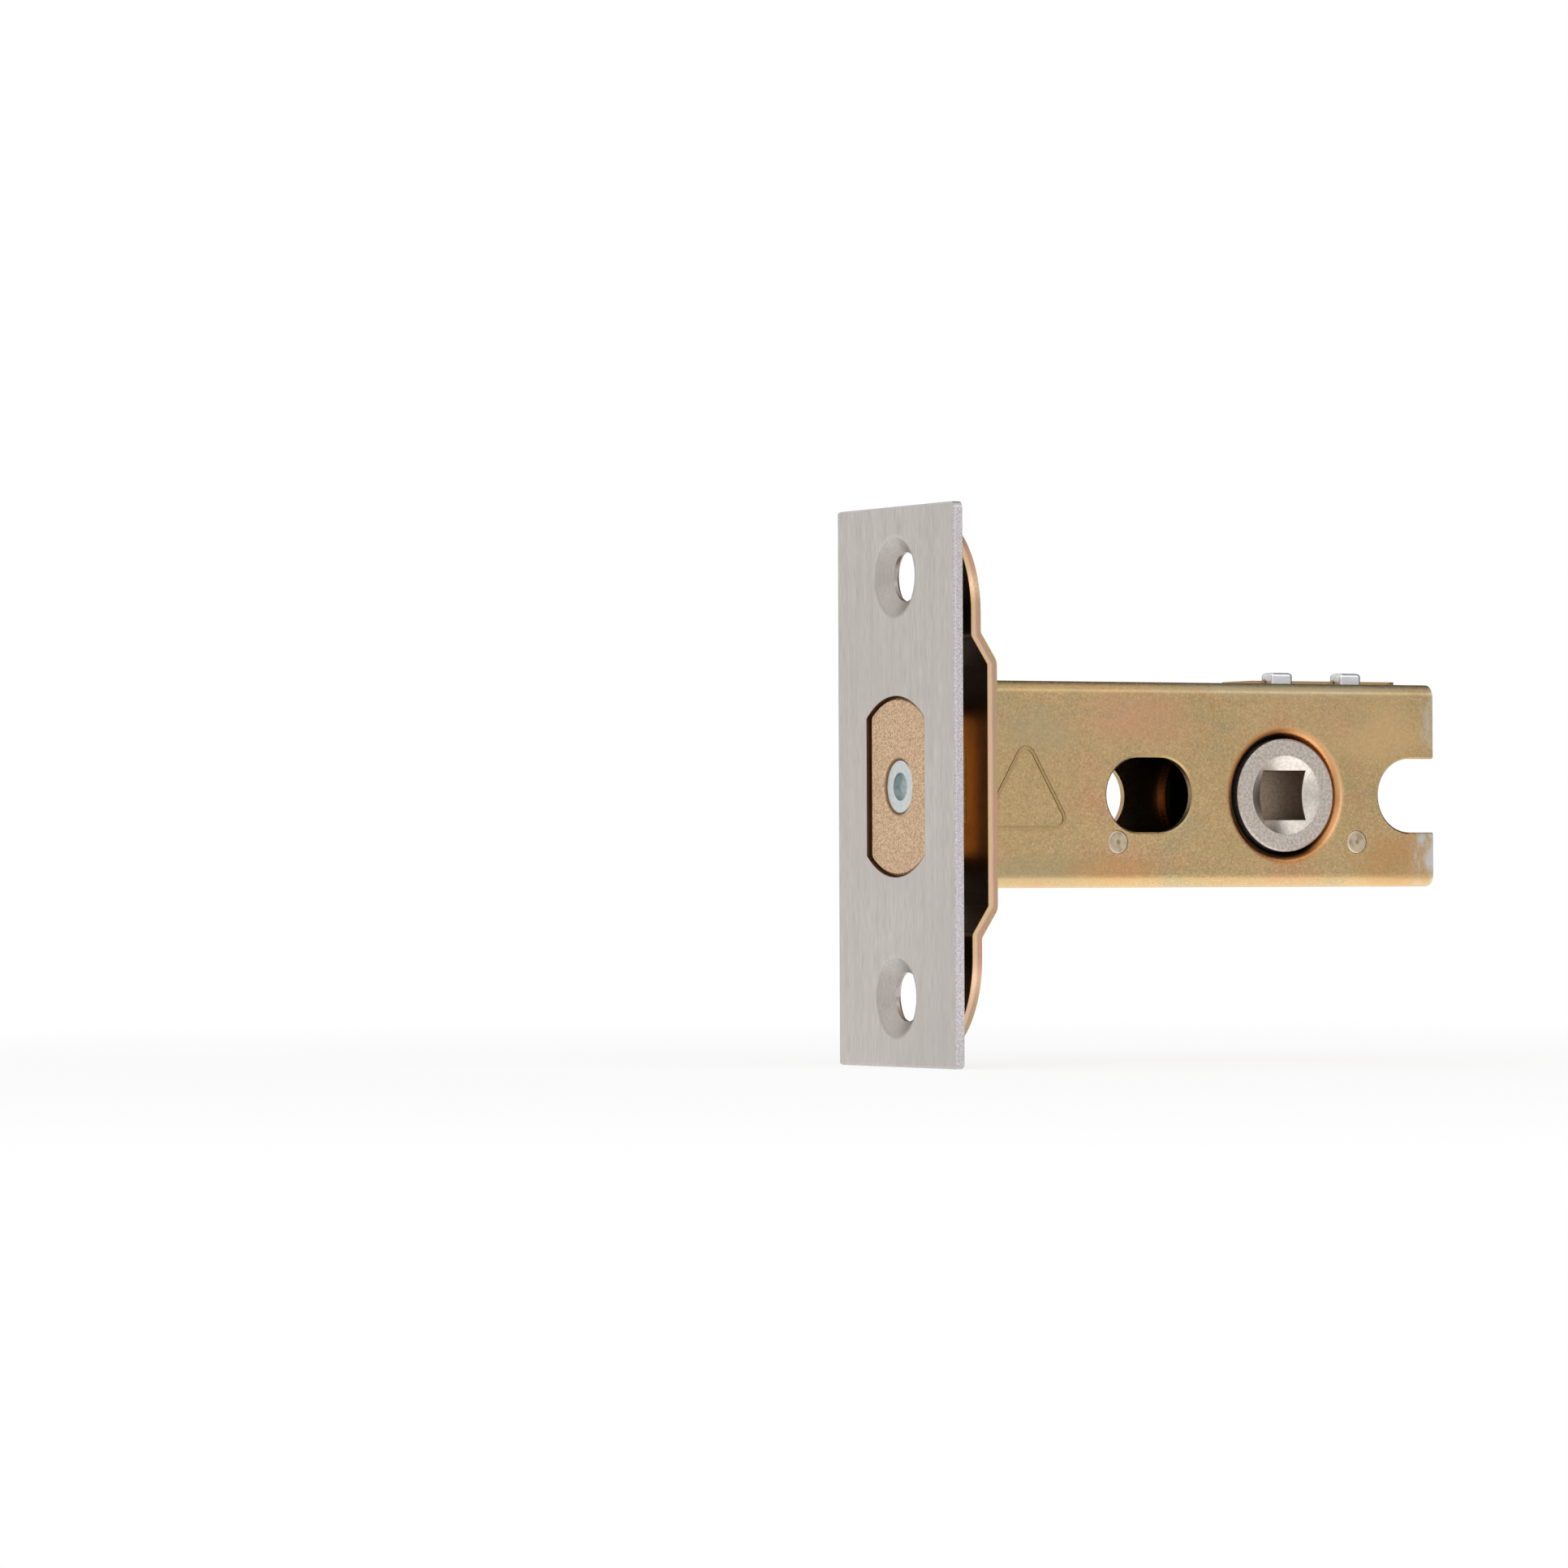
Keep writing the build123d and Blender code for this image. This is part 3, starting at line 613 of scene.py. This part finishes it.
# %% Coined triangle: raised and bevelled
bpy.ops.mesh.select_all(action="SELECT")
bpy.ops.mesh.extrude_region_move(TRANSFORM_OT_translate={"value": (0, -mark_height, 0)})
bpy.ops.mesh.select_all(action="SELECT")
bpy.ops.mesh.normals_make_consistent(inside=False)
bpy.ops.mesh.select_all(action="DESELECT")
bpy.ops.mesh.select_mode(type="EDGE")
bpy.ops.mesh.edges_select_sharp(sharpness=math.radians(60))
bpy.ops.object.mode_set(mode="OBJECT")
for edge in mark.data.edges:
    ends = [mark.data.vertices[v].co.y < case_low.y - mark_height / 2 for v in edge.vertices]
    edge.select = edge.select and all(ends)
bpy.ops.object.mode_set(mode="EDIT")
bpy.ops.mesh.bevel(offset=mark_bevel, segments=2, affect="EDGES")
bpy.ops.mesh.select_mode(type="VERT")
bpy.ops.object.mode_set(mode="OBJECT")
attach(mark, "lock_case")
print("mark has", len(mark.data.polygons), "faces")

# %% [markdown]
# ## Film on the mark
# The bead carries the same film as the wall, under painted shade that is darkest at its foot,
# so the colour goes from dark brown at the wall to mostly film on top.

# %% Film on the mark
foot_shade = shade(96, 74, 42)
top_share = 0.75
coined, coined_film, _, _ = passivated("yellow_passivate_mark")
raised = coined.ramp(coined.split(coined.place)["Y"], case_low.y, case_low.y - mark_height)
# Painted shade over the bead, darkest at its foot.
coined.colour(coined.mixed(coined.times(raised, top_share), foot_shade, coined_film))
mark.data.materials.append(coined.material)
print(coined.material.name, "on", mark.name)

# %% [markdown]
# ## Studio: the floor
# The part stands on its faceplate over a pale floor. A floor that is only lit would look grey
# beside the white room. So the camera and polished metal see it blended to plain white, a little
# less near the part, where the soft shadow stays.

# %% Floor
floor_z = cad_box[0].z
floor_size, floor_grey, floor_gloss = 6.0, 0.9, 0.9
shadow_inner, shadow_outer, shadow_white = 0.05, 0.3, 0.8
bpy.ops.object.select_all(action="DESELECT")
bpy.ops.mesh.primitive_plane_add(size=floor_size, location=(0, 0, floor_z))
floor = bpy.context.object
floor.name = "studio_floor"
floor_paint = Finish("floor_paint", metallic=0.0)
floor_paint.colour((floor_grey, floor_grey, floor_grey, 1))
floor_paint.gloss(floor_gloss)
ray = floor_paint.node("ShaderNodeLightPath").outputs
seen = floor_paint.math("MAXIMUM", ray["Is Camera Ray"], ray["Is Glossy Ray"])
from_part = floor_paint.away((0, 0, 0), 1.0)
whiteness = floor_paint.ramp(from_part, shadow_inner, shadow_outer, shadow_white, 1.0)
whiteness = floor_paint.math("MAXIMUM", whiteness, ray["Is Glossy Ray"])
white = floor_paint.node("ShaderNodeEmission")
blend = floor_paint.node("ShaderNodeMixShader", [
    (0, floor_paint.times(seen, whiteness)),
    (1, floor_paint.shader.outputs[0]), (2, white.outputs[0])])
surface = floor_paint.tree.nodes["Material Output"].inputs["Surface"]
floor_paint.tree.links.new(blend.outputs[0], surface)
floor.data.materials.append(floor_paint.material)
print("floor at Z", round(floor_z / MM, 2), "mm")

# %% [markdown]
# ## Studio: the room
# The room is white, and the camera sees it as plain white. An even white room makes metal look
# flat, so towards one side it falls off to dark, as a black flag does in a studio. That gives the
# rolled collar and the bends a light and a dark side.

# %% World
dark_side = Vector((0.97, 0.26, 0.05)).normalized()
flag_start, flag_end, flag_dark = 0.3, 0.68, 0.02
horizon_light, zenith_height = 0.82, 0.8
world = bpy.data.worlds.new("white_room")
bpy.context.scene.world = world
world.use_nodes = True
room = Nodes(world.node_tree)
towards = room.node("ShaderNodeTexCoord").outputs["Generated"]
facing = room.node("ShaderNodeVectorMath", [(0, towards), (1, dark_side)], operation="DOT_PRODUCT")
flag = room.ramp(facing.outputs["Value"], flag_start, flag_end, 1.0, flag_dark)
height_glow = room.ramp(room.split(towards)["Z"], 0.0, zenith_height, horizon_light, 1.0)
room_light = room.times(flag, height_glow)
camera_ray = room.node("ShaderNodeLightPath").outputs["Is Camera Ray"]
background = room.tree.nodes["Background"]
background.inputs["Color"].default_value = (1, 1, 1, 1)
room.tree.links.new(room.math("MAXIMUM", room_light, camera_ray), background.inputs["Strength"])
print("room is dark towards", [round(c, 2) for c in dark_side])

# %% [markdown]
# ## Studio: the lamps
# A large key lamp stands up to the left of the camera and a smaller one hangs overhead. Three more
# are there for the metal, which shows what it mirrors: one for the top bend of the case, an
# upright strip for its side, and a small one at the floor for the lower bend. The room could be
# brighter instead, but then all faces would get the same light.

# %% Lamps
part_middle = (cad_box[0] + cad_box[1]) / 2
glow_x, glow_y, glow_lift = 0.045, -0.012, 0.002


def soft_lamp(name, place, target, size, power):
    """Lamp of a width and height that faces a target, with its power in watts."""
    lamp = bpy.data.lights.new(name, "AREA")
    lamp.shape = "RECTANGLE"
    lamp.size, lamp.size_y = size
    lamp.energy = power
    holder = bpy.data.objects.new(name, lamp)
    bpy.context.scene.collection.objects.link(holder)
    holder.location = place
    holder.rotation_euler = (Vector(target) - Vector(place)).to_track_quat("-Z", "Y").to_euler()
    holder.visible_camera = False
    print(name, "at", place)


soft_lamp("key", (-0.45, -0.7, 0.75), part_middle, size=(1.3, 1.3), power=1.36)
soft_lamp("overhead", (0.25, -0.25, 0.8), part_middle, size=(0.7, 0.7), power=0.6)
soft_lamp("bend_light", (0.5, -0.75, 0.5), part_middle, size=(0.5, 0.22), power=0.65)
soft_lamp("front_strip", (0.1, -0.9, 0.1), part_middle, size=(0.25, 0.7), power=0.5)
soft_lamp("table_glow", (glow_x, glow_y, floor_z + glow_lift), (glow_x, glow_y, 0),
          size=(0.07, 0.07), power=0.012)

# %% [markdown]
# ## Camera
# The photograph's camera was worked out from the corners, holes and edges of the part: it
# stands well back, turned a little to the left, and looks very slightly upwards. It could be
# placed by eye, but then no edge would fall where it should. The lens follows from the focal
# length in pixels, on a square picture.

# %% Camera
picture = 1932
focal_pixels = 8960.1
yaw, pitch, roll = (math.radians(angle) for angle in (28.387, 0.819, -0.2285))
origin_in_view = Vector((11.9136, -0.2884, -778.201)) * MM
right = Vector((math.cos(yaw), -math.sin(yaw), 0))
ahead = Vector((math.sin(yaw), math.cos(yaw), 0))
upward = Vector((0, 0, 1))
forward = ahead * math.cos(pitch) + upward * math.sin(pitch)
level_up = upward * math.cos(pitch) - ahead * math.sin(pitch)
view_right = right * math.cos(roll) + level_up * math.sin(roll)
view_up = level_up * math.cos(roll) - right * math.sin(roll)
turn = Matrix((view_right, view_up, -forward)).transposed()

lens = bpy.data.cameras.new("camera")
lens.sensor_width = 36.0
lens.lens = focal_pixels / picture * lens.sensor_width
lens.clip_start = 0.01
camera = bpy.data.objects.new("camera", lens)
bpy.context.scene.collection.objects.link(camera)
camera.matrix_world = Matrix.Translation(-(turn @ origin_in_view)) @ turn.to_4x4()
bpy.context.scene.camera = camera
camera_place = [round(c, 3) for c in camera.matrix_world.translation]
print("camera at", camera_place, "lens", round(lens.lens, 1))

# %% [markdown]
# ## Finish
# Colours are shown plainly.

# %% Finish
bpy.context.scene.view_settings.view_transform = "Standard"
